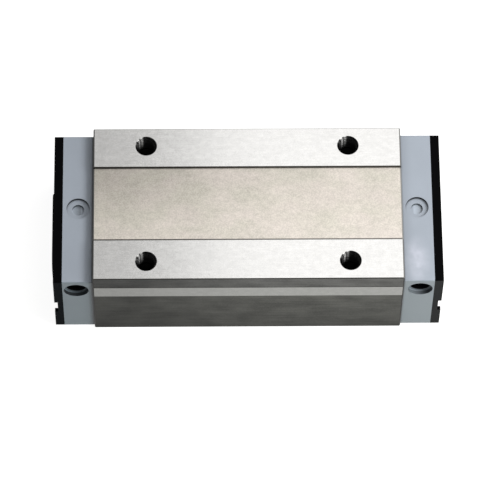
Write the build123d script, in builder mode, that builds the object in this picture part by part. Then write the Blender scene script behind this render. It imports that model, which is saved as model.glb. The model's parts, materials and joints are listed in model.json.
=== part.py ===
"""Long, narrow ball carriage for a profile rail: steel block, moulded end caps, seals and four ball circuits.

Frame: +X along the rail, +Y to the rear, +Z up. The origin is at the centre of the base, in the
plane of the end caps' underside. The profiles are drawn across the rail, in (Y, Z). Millimetres.
"""

from build123d import *
from math import acos, asin, cos, degrees, floor, pi, radians, sin, sqrt, tan
import os

# Steel block
block_width = 42.0
steel_length = 76.2
pad_height = 26.8
steel_bottom = 0.1
end_chamfer = 0.3
edge_break = 0.2
recess_width = 20.2
recess_depth = 0.6
pad_break = 0.15
side_relief = 0.08
band_top_drop = 4.6
band_bottom_drop = 9.2

# Tapped holes in the two pads
bolt_spacing_x = 50.0
bolt_spacing_y = 32.0
bolt_hole_radius = 2.5
bolt_hole_depth = 6.0
bolt_mouth_chamfer = 0.1
drill_point_angle = 118.0
bolt_mouth_angle = 90.0

# The rail that the block runs on: only its outline is used
rail_half_width = 10.0
rail_top = 13.6
rail_shoulder = 2.0
rail_side_height = 2.6
rail_waist_half_width = 7.75
rail_waist_height = 2.3

# Balls and their tracks
ball_diameter = 3.175
row_half_spacing = 9.5
row_upper_z = 13.2
row_lower_z = 7.4
groove_ball_clearance = 0.0635
groove_start_angle = 5.0
groove_end_angle = 85.0
turn_radius = 3.2
turn_tilt = 20.0
turn_channel_clearance = 0.11
ball_gap = 0.02

# Return tubes
return_tube_wall = 0.5
return_tube_clearance = 0.16
return_hole_clearance = 0.05

# Slot in the steel block
slot_ceiling = 15.2
slot_ceiling_half_width = 9.35
retainer_pocket_depth = 0.55
retainer_pocket_height = 2.2
lip_bottom = 4.3
leg_half_gap = 10.5
seal_pocket_width = 2.0
seal_pocket_height = 1.5

# Ball retainers
retainer_fit = 0.05
retainer_ball_gap = 0.09
retainer_rail_gap = 0.3
retainer_edge_angle = 61.0
retainer_root_angle = 10.0
lower_retainer_bottom = 4.6

# Bottom seals
bottom_seal_lip_gap = 0.15
bottom_seal_rise = 0.2
bottom_seal_lip_height = 0.5

# End caps
cap_thickness = 7.5
cap_half_width = 20.3
cap_top_drop = 2.7
cap_bottom = 0.0
cap_rail_gap = 0.35
cap_edge_fillet = 0.35
cap_corner_fillet = 0.8

# Grease ports of the end caps
top_port_inset = 3.7
top_port_radius = 2.85
top_port_depth = 0.85
top_port_core_radius = 1.5
top_port_core_depth = 1.6
side_port_inset = 4.1
side_port_drop = 4.5
side_port_mouth_radius = 3.05
side_port_mouth_depth = 1.15
side_port_radius = 2.45
side_port_depth = 4.2
end_port_radius = 2.5
end_port_depth = 4.0
gallery_radius = 0.8
gallery_width = 1.2
gallery_depth = 0.8
gallery_rise = 1.4

# Return guides
guide_width = 4.0
guide_radius_step = 0.45
guide_clearance = 0.05
guide_web_width = 2.4
guide_web_thickness = 1.2

# End seals with their steel cores
seal_thickness = 2.2
seal_core_thickness = 0.8
seal_core_inset = 0.9
seal_core_rail_gap = 1.7
seal_core_clearance = 0.05
seal_rail_gap = 0.1
seal_lip_height = 0.7
seal_lip_width = 1.0
seal_lip_corner = 4.0
seal_lip_chamfer = 0.4
seal_recess_top_drop = 9.2
seal_recess_depth = 0.8
seal_rim_width = 1.0
seal_notch_height = 5.0
seal_port_radius = 3.0

# Cap screws
screw_radius = 1.25
screw_upper_y = 7.2
screw_upper_z = 18.4
screw_lower_y = 16.4
screw_lower_z = 10.3
screw_head_radius = 2.3
screw_head_height = 1.2
screw_head_fillet = 0.4
screw_grip = 6.5
screw_hole_spare = 1.5
screw_clearance = 0.15
screw_thread_gap = 0.03
screw_head_gap = 0.2
screw_slot_width = 0.6
screw_slot_length = 2.6
screw_slot_depth = 0.7

# Grease plugs
plug_length = 3.0
plug_gap = 0.04
plug_sink = 0.4
plug_socket_across = 2.5
plug_socket_depth = 1.6

# Sizes worked out from those above
half_length = steel_length / 2
half_width = block_width / 2
recess_half_width = recess_width / 2
steel_height = pad_height - steel_bottom
cap_top = pad_height - cap_top_drop
cap_outer = half_length + cap_thickness
seal_outer = cap_outer + seal_thickness
core_outer = cap_outer + seal_core_thickness
top_port_x = half_length + top_port_inset
side_port_x = half_length + side_port_inset
port_z = cap_top - side_port_drop
ball_radius = ball_diameter / 2
groove_radius = ball_radius + groove_ball_clearance
channel_radius = ball_radius + turn_channel_clearance
retainer_arc = ball_radius + retainer_ball_gap
tube_inner_radius = ball_radius + return_tube_clearance
tube_outer_radius = tube_inner_radius + return_tube_wall
return_hole_radius = tube_outer_radius + return_hole_clearance
groove_wall = row_half_spacing + groove_radius * cos(radians(groove_start_angle))
retainer_pocket_wall = groove_wall + retainer_pocket_depth
rows_middle = (row_upper_z + row_lower_z) / 2
guide_radius = turn_radius - guide_radius_step
seal_pocket_outer = leg_half_gap + seal_pocket_width
seal_pocket_top = steel_bottom + seal_pocket_height
retainer_nose = rail_half_width + retainer_rail_gap

# The four circuits: name, side of the rail, loaded row's height, and +1 where the turn rises outwards
circuits = [
    ("upper_front", -1, row_upper_z, 1),
    ("upper_rear", 1, row_upper_z, 1),
    ("lower_front", -1, row_lower_z, -1),
    ("lower_rear", 1, row_lower_z, -1),
]
screw_places = [
    (side * y, z)
    for side in (-1, 1)
    for y, z in ((screw_upper_y, screw_upper_z), (screw_lower_y, screw_lower_z))
]

os.makedirs("parts", exist_ok=True)


def write_part(part, name):
    """Label a finished piece and write it as one STEP file."""
    part.label = name
    export_step(part, f"parts/{name}.step")


def write_pair(part, stem):
    """Write a right-hand piece and its mirror image at the left end."""
    write_part(part, f"{stem}_right")
    write_part(mirror(part, about=Plane.YZ), f"{stem}_left")


def on_circle(centre, radius, angle):
    """The point at an angle in degrees round a centre in (Y, Z)."""
    return (
        centre[0] + radius * cos(radians(angle)),
        centre[1] + radius * sin(radians(angle)),
    )


def turn_direction(side, rise):
    """Unit vector from a loaded row to its return row."""
    return (0, side * cos(radians(turn_tilt)), rise * sin(radians(turn_tilt)))


def return_row(side, z, rise):
    """Place of a circuit's return row in (Y, Z)."""
    out = turn_direction(side, rise)
    return (side * row_half_spacing + 2 * turn_radius * out[1], z + 2 * turn_radius * out[2])


def turn_frame(side, z, rise):
    """Plane of a right-hand turn: origin at its centre, x outwards across the rail, y along +X."""
    out = turn_direction(side, rise)
    centre = (half_length, side * row_half_spacing + turn_radius * out[1], z + turn_radius * out[2])
    return Plane(origin=centre, x_dir=out, z_dir=(0, out[2], -out[1]))


def turn_axis(side, z, rise):
    """Axis that carries a loaded row round the right-hand turn when revolved by half a turn."""
    frame = turn_frame(side, z, rise)
    return Axis(frame.origin, -frame.z_dir)


def rail_half_outline(gap, bottom):
    """Right half of the rail's outline at a gap from it, from the axis at the top down to a height."""
    corner = gap * (sqrt(2) - 1)
    side_top = rail_top - rail_shoulder
    side_bottom = side_top - rail_side_height
    waist_top = side_bottom - (rail_half_width - rail_waist_half_width)
    waist_bottom = waist_top - rail_waist_height
    flare_bottom = waist_bottom - (rail_half_width - rail_waist_half_width)
    return [
        (0, rail_top + gap),
        (rail_half_width - rail_shoulder + corner, rail_top + gap),
        (rail_half_width + gap, side_top + corner),
        (rail_half_width + gap, side_bottom - corner),
        (rail_waist_half_width + gap, waist_top - corner),
        (rail_waist_half_width + gap, waist_bottom + corner),
        (rail_half_width + gap, flare_bottom + corner),
        (rail_half_width + gap, bottom),
        (0, bottom),
    ]


def half_section(points):
    """Face on both sides of the sketch's upright axis from the outline of its right half."""
    with BuildSketch(mode=Mode.PRIVATE) as section:
        with BuildLine():
            Polyline(*points, close=True)
        make_face()
        mirror(about=Plane.YZ)
    return section.sketch


# Steel block: blank with broken ends, cut to the ground and relieved section
upper_row = (row_half_spacing, row_upper_z)
lower_row = (row_half_spacing, row_lower_z)
mid_groove_angle = (groove_start_angle + groove_end_angle) / 2
upper_groove_start = on_circle(upper_row, groove_radius, groove_start_angle)
upper_groove_end = on_circle(upper_row, groove_radius, groove_end_angle)
lower_groove_start = on_circle(lower_row, groove_radius, -groove_start_angle)
lower_groove_end = on_circle(lower_row, groove_radius, -groove_end_angle)
side_face = half_width - side_relief
pocket_low = rows_middle - retainer_pocket_height / 2
pocket_high = rows_middle + retainer_pocket_height / 2

with BuildPart() as carriage_body:
    with Locations((0, 0, steel_bottom + steel_height / 2)):
        Box(steel_length, block_width, steel_height)
    chamfer(carriage_body.faces().filter_by(Axis.X).edges(), end_chamfer)
    with BuildSketch(Plane.YZ.offset(-half_length)):
        with BuildLine():
            Polyline(
                (0, slot_ceiling),
                (0, pad_height - recess_depth),
                (recess_half_width, pad_height - recess_depth),
                (recess_half_width, pad_height - pad_break),
                (recess_half_width + pad_break, pad_height),
                (side_face - edge_break, pad_height),
                (side_face, pad_height - edge_break),
                (side_face, pad_height - band_top_drop),
                (half_width, pad_height - band_top_drop - side_relief),
                (half_width, pad_height - band_bottom_drop + side_relief),
                (side_face, pad_height - band_bottom_drop),
                (side_face, steel_bottom + edge_break),
                (side_face - edge_break, steel_bottom),
                (seal_pocket_outer, steel_bottom),
                (seal_pocket_outer, seal_pocket_top),
                (leg_half_gap, seal_pocket_top),
                (leg_half_gap, lip_bottom),
                (lower_groove_end[0], lip_bottom),
                lower_groove_end,
            )
            ThreePointArc(
                lower_groove_end,
                on_circle(lower_row, groove_radius, -mid_groove_angle),
                lower_groove_start,
            )
            Polyline(
                lower_groove_start,
                (groove_wall, pocket_low),
                (retainer_pocket_wall, pocket_low),
                (retainer_pocket_wall, pocket_high),
                (groove_wall, pocket_high),
                upper_groove_start,
            )
            ThreePointArc(
                upper_groove_start,
                on_circle(upper_row, groove_radius, mid_groove_angle),
                upper_groove_end,
            )
            Polyline(
                upper_groove_end,
                (slot_ceiling_half_width, slot_ceiling),
                (0, slot_ceiling),
            )
        make_face()
        mirror(about=Plane.YZ)
    extrude(amount=steel_length, mode=Mode.INTERSECT)
    with Locations((0, 0, pad_height)):
        with GridLocations(bolt_spacing_x, bolt_spacing_y, 2, 2):
            CounterSinkHole(
                bolt_hole_radius,
                bolt_hole_radius + bolt_mouth_chamfer,
                depth=bolt_hole_depth,
                counter_sink_angle=bolt_mouth_angle,
            )
    drill_point = bolt_hole_radius / tan(radians(drill_point_angle / 2))
    with Locations((0, 0, pad_height - bolt_hole_depth - drill_point / 2)):
        with GridLocations(bolt_spacing_x, bolt_spacing_y, 2, 2):
            Cone(0, bolt_hole_radius, drill_point, mode=Mode.SUBTRACT)
    with BuildSketch(Plane.YZ.offset(-half_length)):
        with Locations(*[return_row(side, z, rise) for _, side, z, rise in circuits]):
            Circle(return_hole_radius)
    extrude(amount=steel_length, mode=Mode.SUBTRACT)
    for end in (-1, 1):
        with BuildSketch(Plane.YZ.offset(end * half_length)):
            with Locations(*screw_places):
                Circle(screw_radius)
        extrude(amount=-end * (screw_grip + screw_hole_spare), mode=Mode.SUBTRACT)
write_part(carriage_body.part, "carriage_body")


# Balls: each circuit is a closed row with equal steps along two straights and two half turns
half_turn = pi * turn_radius
circuit_length = 2 * (steel_length + half_turn)
closest_step = 2 * turn_radius * asin((ball_diameter + ball_gap) / (2 * turn_radius))
balls_per_circuit = floor(circuit_length / closest_step)
ball_step = circuit_length / balls_per_circuit


def ball_place(distance, side, z, rise):
    """Centre of a ball that has gone a distance round its circuit from the left end of the loaded row."""
    out = turn_direction(side, rise)
    if distance < steel_length:
        along, across = -half_length + distance, 0
    elif distance < steel_length + half_turn:
        angle = (distance - steel_length) / turn_radius
        along = half_length + turn_radius * sin(angle)
        across = turn_radius * (1 - cos(angle))
    elif distance < 2 * steel_length + half_turn:
        along = half_length - (distance - steel_length - half_turn)
        across = 2 * turn_radius
    else:
        angle = (distance - 2 * steel_length - half_turn) / turn_radius
        along = -half_length - turn_radius * sin(angle)
        across = turn_radius * (1 + cos(angle))
    return (along, side * row_half_spacing + across * out[1], z + across * out[2])


for name, side, z, rise in circuits:
    with BuildPart() as ball_circuit:
        places = [
            ball_place((number + 0.5) * ball_step, side, z, rise)
            for number in range(balls_per_circuit)
        ]
        with Locations(*places):
            Sphere(ball_radius)
    write_part(ball_circuit.part, f"ball_circuit_{name}")

    with BuildPart() as return_tube:
        with BuildSketch(Plane.YZ.offset(-half_length)):
            with Locations(return_row(side, z, rise)):
                Circle(tube_outer_radius)
                Circle(tube_inner_radius, mode=Mode.SUBTRACT)
        extrude(amount=steel_length)
    write_part(return_tube.part, f"return_tube_{name}")


# Plate under the slot's ceiling that keeps both upper rows in
with BuildPart() as upper_retainer:
    with BuildSketch(Plane.YZ.offset(-half_length)):
        with BuildLine():
            inner_edge = on_circle(upper_row, retainer_arc, 90 + retainer_edge_angle)
            outer_edge = on_circle(upper_row, retainer_arc, 90 + retainer_root_angle)
            Polyline(
                (0, slot_ceiling),
                (0, rail_top + retainer_rail_gap),
                (inner_edge[0], rail_top + retainer_rail_gap),
                inner_edge,
            )
            ThreePointArc(
                inner_edge,
                on_circle(upper_row, retainer_arc, 90 + (retainer_edge_angle + retainer_root_angle) / 2),
                outer_edge,
            )
            Polyline(outer_edge, (outer_edge[0], slot_ceiling), (0, slot_ceiling))
        make_face()
        mirror(about=Plane.YZ)
    extrude(amount=steel_length)
write_part(upper_retainer.part, "upper_retainer")

# Strips that lie between the upper and lower row, and under the lower row, on each side
retainer_back = groove_wall - retainer_fit
retainer_root = retainer_pocket_wall - retainer_fit
back_angle = degrees(acos((retainer_back - row_half_spacing) / retainer_arc))
nose_angle = degrees(acos((retainer_nose - row_half_spacing) / retainer_arc))
middle_arc_angle = (back_angle + nose_angle) / 2
back_low = on_circle(lower_row, retainer_arc, back_angle)
back_high = on_circle(upper_row, retainer_arc, -back_angle)
nose_low = on_circle(lower_row, retainer_arc, nose_angle)
nose_high = on_circle(upper_row, retainer_arc, -nose_angle)

for name, mirrored in (("rear", False), ("front", True)):
    with BuildPart() as side_retainer:
        with BuildSketch(Plane.YZ.offset(-half_length)):
            with BuildLine():
                ThreePointArc(
                    back_low, on_circle(lower_row, retainer_arc, middle_arc_angle), nose_low
                )
                Line(nose_low, nose_high)
                ThreePointArc(
                    nose_high, on_circle(upper_row, retainer_arc, -middle_arc_angle), back_high
                )
                Polyline(
                    back_high,
                    (retainer_back, pocket_high - retainer_fit),
                    (retainer_root, pocket_high - retainer_fit),
                    (retainer_root, pocket_low + retainer_fit),
                    (retainer_back, pocket_low + retainer_fit),
                    back_low,
                )
            make_face()
        extrude(amount=steel_length)

    with BuildPart() as lower_retainer:
        with BuildSketch(Plane.YZ.offset(-half_length)):
            with BuildLine():
                inner_edge = on_circle(lower_row, retainer_arc, -90 - retainer_edge_angle)
                outer_edge = on_circle(lower_row, retainer_arc, -90 - retainer_root_angle)
                seat = lower_groove_end[0] - retainer_fit
                ThreePointArc(
                    inner_edge,
                    on_circle(
                        lower_row, retainer_arc, -90 - (retainer_edge_angle + retainer_root_angle) / 2
                    ),
                    outer_edge,
                )
                Polyline(
                    outer_edge,
                    (seat, outer_edge[1]),
                    (seat, lower_retainer_bottom),
                    (inner_edge[0], lower_retainer_bottom),
                    inner_edge,
                )
            make_face()
        extrude(amount=steel_length)

    # Rubber strip in the leg's lower corner, with a lip towards the rail
    with BuildPart() as bottom_seal:
        with BuildSketch(Plane.YZ.offset(-half_length)):
            with BuildLine():
                seal_low = steel_bottom + bottom_seal_rise
                lip_edge = rail_half_width + bottom_seal_lip_gap
                Polyline(
                    (seal_pocket_outer, seal_low),
                    (seal_pocket_outer, seal_pocket_top),
                    (leg_half_gap, seal_pocket_top),
                    (lip_edge, seal_low + bottom_seal_lip_height),
                    (lip_edge, seal_low),
                    close=True,
                )
            make_face()
        extrude(amount=steel_length)

    for strip, stem in (
        (side_retainer.part, "side_retainer"),
        (lower_retainer.part, "lower_retainer"),
        (bottom_seal.part, "bottom_seal"),
    ):
        write_part(mirror(strip, about=Plane.XZ) if mirrored else strip, f"{stem}_{name}")


# Moulded end cap: outer half of each turn, pockets for the guides, ports and the grease gallery
pocket_radius = guide_radius + guide_clearance
pocket_width = guide_width + 2 * guide_clearance
turn_middle_y = row_half_spacing + turn_radius * cos(radians(turn_tilt))
upper_turn_z = row_upper_z + turn_radius * sin(radians(turn_tilt))
lower_turn_z = row_lower_z - turn_radius * sin(radians(turn_tilt))
web_height = upper_turn_z - lower_turn_z
web_pocket_width = guide_web_width + 2 * guide_clearance
web_pocket_depth = guide_web_thickness + guide_clearance
gallery_z = port_z + gallery_rise

with BuildPart() as end_cap:
    with BuildSketch(Plane.YZ.offset(half_length)):
        with Locations((0, (cap_top + cap_bottom) / 2)):
            Rectangle(2 * cap_half_width, cap_top - cap_bottom)
        add(half_section(rail_half_outline(cap_rail_gap, cap_bottom)), mode=Mode.SUBTRACT)
    extrude(amount=cap_thickness)
    long_edges = end_cap.edges().filter_by(Axis.X)
    outer_edges = long_edges.filter_by(lambda edge: abs(edge.center().Y) > cap_half_width - cap_edge_fillet)
    fillet(outer_edges.sort_by(Axis.Z)[-2:], cap_edge_fillet)
    fillet(outer_edges.sort_by(Axis.Z)[:2], cap_corner_fillet)
    for _, side, z, rise in circuits:
        with BuildSketch(Plane.YZ.offset(half_length)):
            with Locations((side * row_half_spacing, z)):
                Circle(channel_radius)
        revolve(axis=turn_axis(side, z, rise), revolution_arc=180, mode=Mode.SUBTRACT)
        with BuildSketch(turn_frame(side, z, rise)):
            Circle(pocket_radius)
        extrude(amount=pocket_width / 2, both=True, mode=Mode.SUBTRACT)
    with BuildSketch(Plane.YZ.offset(half_length)):
        with Locations((-turn_middle_y, rows_middle), (turn_middle_y, rows_middle)):
            Rectangle(web_pocket_width, web_height)
    extrude(amount=web_pocket_depth, mode=Mode.SUBTRACT)
    with BuildSketch(Plane.YZ.offset(half_length)):
        with Locations(*screw_places):
            Circle(screw_radius + screw_clearance)
    extrude(amount=cap_thickness, mode=Mode.SUBTRACT)
    with Locations((top_port_x, 0, cap_top)):
        Hole(top_port_radius, depth=top_port_depth)
        Hole(top_port_core_radius, depth=top_port_core_depth)
    for side in (-1, 1):
        with BuildSketch(Plane.XZ.offset(-side * cap_half_width)):
            with Locations((side_port_x, port_z)):
                Circle(side_port_mouth_radius)
        extrude(amount=side * side_port_mouth_depth, mode=Mode.SUBTRACT)
        with BuildSketch(Plane.XZ.offset(-side * cap_half_width)):
            with Locations((side_port_x, port_z)):
                Circle(side_port_radius)
        extrude(amount=side * side_port_depth, mode=Mode.SUBTRACT)
    with BuildSketch(Plane.YZ.offset(cap_outer)):
        with Locations((0, port_z)):
            Circle(end_port_radius)
    extrude(amount=-end_port_depth, mode=Mode.SUBTRACT)
    with BuildSketch(Plane.YZ.offset(half_length)):
        with Locations((0, port_z)):
            Circle(gallery_radius)
    extrude(amount=cap_thickness, mode=Mode.SUBTRACT)
    with BuildSketch(Plane.YZ.offset(half_length)):
        with Locations((0, port_z + gallery_rise / 2)):
            Rectangle(gallery_width, gallery_rise + gallery_width)
        with Locations((0, gallery_z)):
            Rectangle(2 * turn_middle_y + gallery_width, gallery_width)
        leg_height = gallery_z - upper_turn_z
        with Locations(
            (-turn_middle_y, gallery_z - leg_height / 2), (turn_middle_y, gallery_z - leg_height / 2)
        ):
            Rectangle(gallery_width, leg_height)
    extrude(amount=gallery_depth, mode=Mode.SUBTRACT)
write_pair(end_cap.part, "end_cap")


# Return guide: two grooved half drums, the inner walls of a side's two turns, joined by a web
for side_name, side in (("front", -1), ("rear", 1)):
    side_circuits = [circuit for circuit in circuits if circuit[1] == side]
    with BuildPart() as return_guide:
        for _, _, z, rise in side_circuits:
            with BuildSketch(turn_frame(side, z, rise)):
                Circle(guide_radius)
                with Locations((0, -guide_radius / 2)):
                    Rectangle(2 * guide_radius, guide_radius, mode=Mode.SUBTRACT)
            extrude(amount=guide_width / 2, both=True)
        with BuildSketch(Plane.YZ.offset(half_length)):
            with Locations((side * turn_middle_y, rows_middle)):
                Rectangle(guide_web_width, web_height)
        extrude(amount=guide_web_thickness)
        for _, _, z, rise in side_circuits:
            with BuildSketch(Plane.YZ.offset(half_length)):
                with Locations((side * row_half_spacing, z)):
                    Circle(channel_radius)
            revolve(axis=turn_axis(side, z, rise), revolution_arc=180, mode=Mode.SUBTRACT)
    write_pair(return_guide.part, f"return_guide_{side_name}")


# Rubber end seal: cap outline, lip round the rail, tongues into the rail's grooves, pocket for the core.
# The legs are thinner round the lower screws, with a rim along the outer edge that a notch interrupts.
core_pocket = half_section(rail_half_outline(seal_core_rail_gap, cap_bottom + seal_core_inset))
lip_half_width = rail_half_width + seal_lip_width
lip_top = rail_top + seal_lip_width
recess_top_z = cap_top - seal_recess_top_drop
leg_recess_width = cap_half_width - lip_half_width - seal_rim_width
leg_recess_y = lip_half_width + leg_recess_width / 2
notch_y = cap_half_width - seal_rim_width / 2
notch_z = recess_top_z - seal_notch_height / 2

with BuildPart() as end_seal:
    with BuildSketch(Plane.YZ.offset(cap_outer)):
        with Locations((0, (cap_top + cap_bottom) / 2)):
            Rectangle(2 * cap_half_width, cap_top - cap_bottom)
    extrude(amount=seal_thickness)
    long_edges = end_seal.edges().filter_by(Axis.X)
    fillet(long_edges.sort_by(Axis.Z)[-2:], cap_edge_fillet)
    fillet(long_edges.sort_by(Axis.Z)[:2], cap_corner_fillet)
    with BuildSketch(Plane.YZ.offset(seal_outer)):
        with Locations((-leg_recess_y, recess_top_z / 2), (leg_recess_y, recess_top_z / 2)):
            Rectangle(leg_recess_width, recess_top_z)
        with Locations((-notch_y, notch_z), (notch_y, notch_z)):
            Rectangle(seal_rim_width, seal_notch_height)
    extrude(amount=-seal_recess_depth, mode=Mode.SUBTRACT)
    with BuildSketch(Plane.YZ.offset(seal_outer)) as lip_section:
        with Locations((0, lip_top / 2)):
            Rectangle(2 * lip_half_width, lip_top)
        fillet(lip_section.vertices().group_by(Axis.Y)[-1], seal_lip_corner)
    extrude(amount=seal_lip_height)
    lip_face = end_seal.faces().sort_by(Axis.X)[-1]
    chamfer(lip_face.edges().filter_by(lambda edge: edge.center().Z > cap_bottom), seal_lip_chamfer)
    with BuildSketch(Plane.YZ.offset(cap_outer)):
        add(half_section(rail_half_outline(seal_rail_gap, cap_bottom)))
        with Locations(*[(side * row_half_spacing, z) for _, side, z, _ in circuits]):
            Circle(groove_radius - seal_rail_gap, mode=Mode.SUBTRACT)
    extrude(amount=seal_thickness + seal_lip_height, mode=Mode.SUBTRACT)
    with BuildSketch(Plane.YZ.offset(cap_outer)):
        with Locations((0, (cap_top + cap_bottom) / 2)):
            Rectangle(2 * (cap_half_width - seal_core_inset), cap_top - cap_bottom - 2 * seal_core_inset)
        add(core_pocket, mode=Mode.SUBTRACT)
    extrude(amount=seal_core_thickness, mode=Mode.SUBTRACT)
    with BuildSketch(Plane.YZ.offset(cap_outer)):
        with Locations(*screw_places):
            Circle(screw_head_radius + screw_head_gap)
        with Locations((0, port_z)):
            Circle(seal_port_radius)
    extrude(amount=seal_thickness, mode=Mode.SUBTRACT)
write_pair(end_seal.part, "end_seal")

# Steel core inside the end seal: the cap screws clamp it
core_gap = seal_core_rail_gap + seal_core_clearance
core_inset = seal_core_inset + seal_core_clearance
with BuildPart() as seal_core:
    with BuildSketch(Plane.YZ.offset(cap_outer)):
        with Locations((0, (cap_top + cap_bottom) / 2)):
            Rectangle(2 * (cap_half_width - core_inset), cap_top - cap_bottom - 2 * core_inset)
        add(half_section(rail_half_outline(core_gap, cap_bottom)), mode=Mode.SUBTRACT)
        with Locations(*screw_places):
            Circle(screw_radius + screw_clearance, mode=Mode.SUBTRACT)
        with Locations((0, port_z)):
            Circle(seal_port_radius, mode=Mode.SUBTRACT)
    extrude(amount=seal_core_thickness)
write_pair(seal_core.part, "seal_core")

# Four pan-head screws with cross recesses, through the core and the cap into the steel
with BuildPart() as cap_screws:
    with BuildSketch(Plane.YZ.offset(half_length - screw_grip)):
        with Locations(*screw_places):
            Circle(screw_radius - screw_thread_gap)
    extrude(amount=screw_grip + cap_thickness + seal_core_thickness)
    with BuildSketch(Plane.YZ.offset(core_outer)):
        with Locations(*screw_places):
            Circle(screw_head_radius)
    extrude(amount=screw_head_height)
    rim_edges = cap_screws.faces().group_by(Axis.X)[-1].edges()
    fillet(rim_edges, screw_head_fillet)
    with BuildSketch(Plane.YZ.offset(core_outer + screw_head_height)):
        with Locations(*screw_places):
            Rectangle(screw_slot_length, screw_slot_width)
            Rectangle(screw_slot_width, screw_slot_length)
    extrude(amount=-screw_slot_depth, mode=Mode.SUBTRACT)
write_pair(cap_screws.part, "cap_screws")

# Socket set screw that closes the grease port in the cap's end face
with BuildPart() as grease_plug:
    with BuildSketch(Plane.YZ.offset(cap_outer - plug_sink)):
        with Locations((0, port_z)):
            Circle(end_port_radius - plug_gap)
    extrude(amount=-plug_length)
    with BuildSketch(Plane.YZ.offset(cap_outer - plug_sink)):
        with Locations((0, port_z)):
            RegularPolygon(plug_socket_across / 2, 6, major_radius=False)
    extrude(amount=-plug_socket_depth, mode=Mode.SUBTRACT)
write_pair(grease_plug.part, "grease_plug")
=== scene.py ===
"""Finish of a linear bearing block: steel, moulded caps, rubber seals, ball tracks, threads and studio.

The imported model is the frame. Everything is in metres in that frame: +X along the rail, +Y to the rear,
+Z up, with the origin on the floor under the middle of the block.
"""

import json
from math import cos, pi, radians, sin

import bpy
from bpy.props import FloatProperty, FloatVectorProperty, IntProperty, PointerProperty
from bpy.types import Operator, Panel, PropertyGroup
from mathutils import Matrix, Vector


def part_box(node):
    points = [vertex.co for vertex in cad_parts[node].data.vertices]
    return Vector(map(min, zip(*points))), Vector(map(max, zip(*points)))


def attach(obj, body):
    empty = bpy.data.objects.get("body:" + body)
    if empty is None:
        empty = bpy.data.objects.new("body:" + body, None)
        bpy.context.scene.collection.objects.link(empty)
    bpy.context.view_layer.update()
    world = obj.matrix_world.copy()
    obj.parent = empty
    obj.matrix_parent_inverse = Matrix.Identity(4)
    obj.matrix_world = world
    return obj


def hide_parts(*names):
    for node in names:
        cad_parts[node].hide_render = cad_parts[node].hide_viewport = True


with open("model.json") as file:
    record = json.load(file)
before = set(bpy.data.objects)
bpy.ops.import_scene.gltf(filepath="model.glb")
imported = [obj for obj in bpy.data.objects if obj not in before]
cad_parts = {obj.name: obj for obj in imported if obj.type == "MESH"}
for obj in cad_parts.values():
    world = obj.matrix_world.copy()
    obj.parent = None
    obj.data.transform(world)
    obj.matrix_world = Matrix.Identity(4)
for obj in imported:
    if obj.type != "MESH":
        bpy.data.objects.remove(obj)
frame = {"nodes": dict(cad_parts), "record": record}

bl_info = {
    "name": "Linear bearing block",
    "version": (1, 0, 0),
    "blender": (4, 5, 0),
    "location": "View3D > Sidebar > Bearing block",
    "description": "Dresses the packed bearing block and sets up its studio",
    "category": "Object",
}

MM = 0.001
# Soft edge of a mask and slack of a place, and the distance at which two points are one.
HAIR = 0.02 * MM
TOUCH = 0.001 * MM

block_low, block_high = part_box("carriage_body")
_, cap_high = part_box("end_cap_right")
seal_low, seal_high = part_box("end_seal_right")
mounts = {mount["name"]: mount for mount in frame["record"]["mounts"]}
hole_sizes = mounts["table_holes"]["dims"]
hole_radius = hole_sizes["hole_r_mm"] * MM
hole_along = hole_sizes["spacing_x_mm"] / 2 * MM
hole_across = hole_sizes["spacing_y_mm"] / 2 * MM
side_port = mounts["grease_port_front_right"]
side_band_middle = mounts["front_datum_band"]["pos_m"][2]


def length(name, description, millimetres):
    """A length that the panel shows, given in millimetres."""
    return FloatProperty(
        name=name, description=description, default=millimetres * MM, unit="LENGTH", precision=5
    )


def share(name, description, default):
    """A plain number from 0 to 1 that the panel shows."""
    return FloatProperty(
        name=name, description=description, default=default, min=0, max=1, subtype="FACTOR"
    )


def angle(name, description, turn):
    """An angle that the panel shows, given in radians."""
    return FloatProperty(name=name, description=description, default=turn, unit="ROTATION")


def colour(name, description, red, green, blue):
    """A colour that the panel shows, as its share of the light that falls on it."""
    return FloatVectorProperty(
        name=name,
        description=description,
        default=(red, green, blue, 1),
        size=4,
        min=0,
        max=1,
        subtype="COLOR",
    )


def place(name, description, x, y, z):
    """A point in the frame that the panel shows, in metres."""
    return FloatVectorProperty(
        name=name,
        description=description,
        default=(x, y, z),
        subtype="TRANSLATION",
        unit="LENGTH",
        precision=5,
    )


def power(name, description, watts):
    """A lamp's power that the panel shows."""
    return FloatProperty(name=name, description=description, default=watts, min=0, unit="POWER")


class BlockFaces(PropertyGroup):
    """Where the faces of the steel block with a finish of their own begin and end."""

    recess_half_width: length("Recess half width", "From the middle to the inner edge of a pad", 10.1)
    recess_depth: length("Recess depth", "How far the middle band lies below the pads", 0.6)
    rear_line: length("Rear line", "Width of the dark corner at the foot of the rear pad", 0.1)
    front_line: length("Front line", "Width of the dark corner at the foot of the front pad", 0.55)
    end_chamfer: length("End chamfer", "Width of the broken edges round both ends", 0.3)
    side_relief: length("Side relief", "How far the ground side band stands proud of the sides", 0.08)
    slot_half_width: length("Slot half width", "Reach of the ground ball tracks from the middle", 11.3)
    slot_top: length("Slot top", "Height of the slot's ceiling above the base", 15.3)


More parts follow.
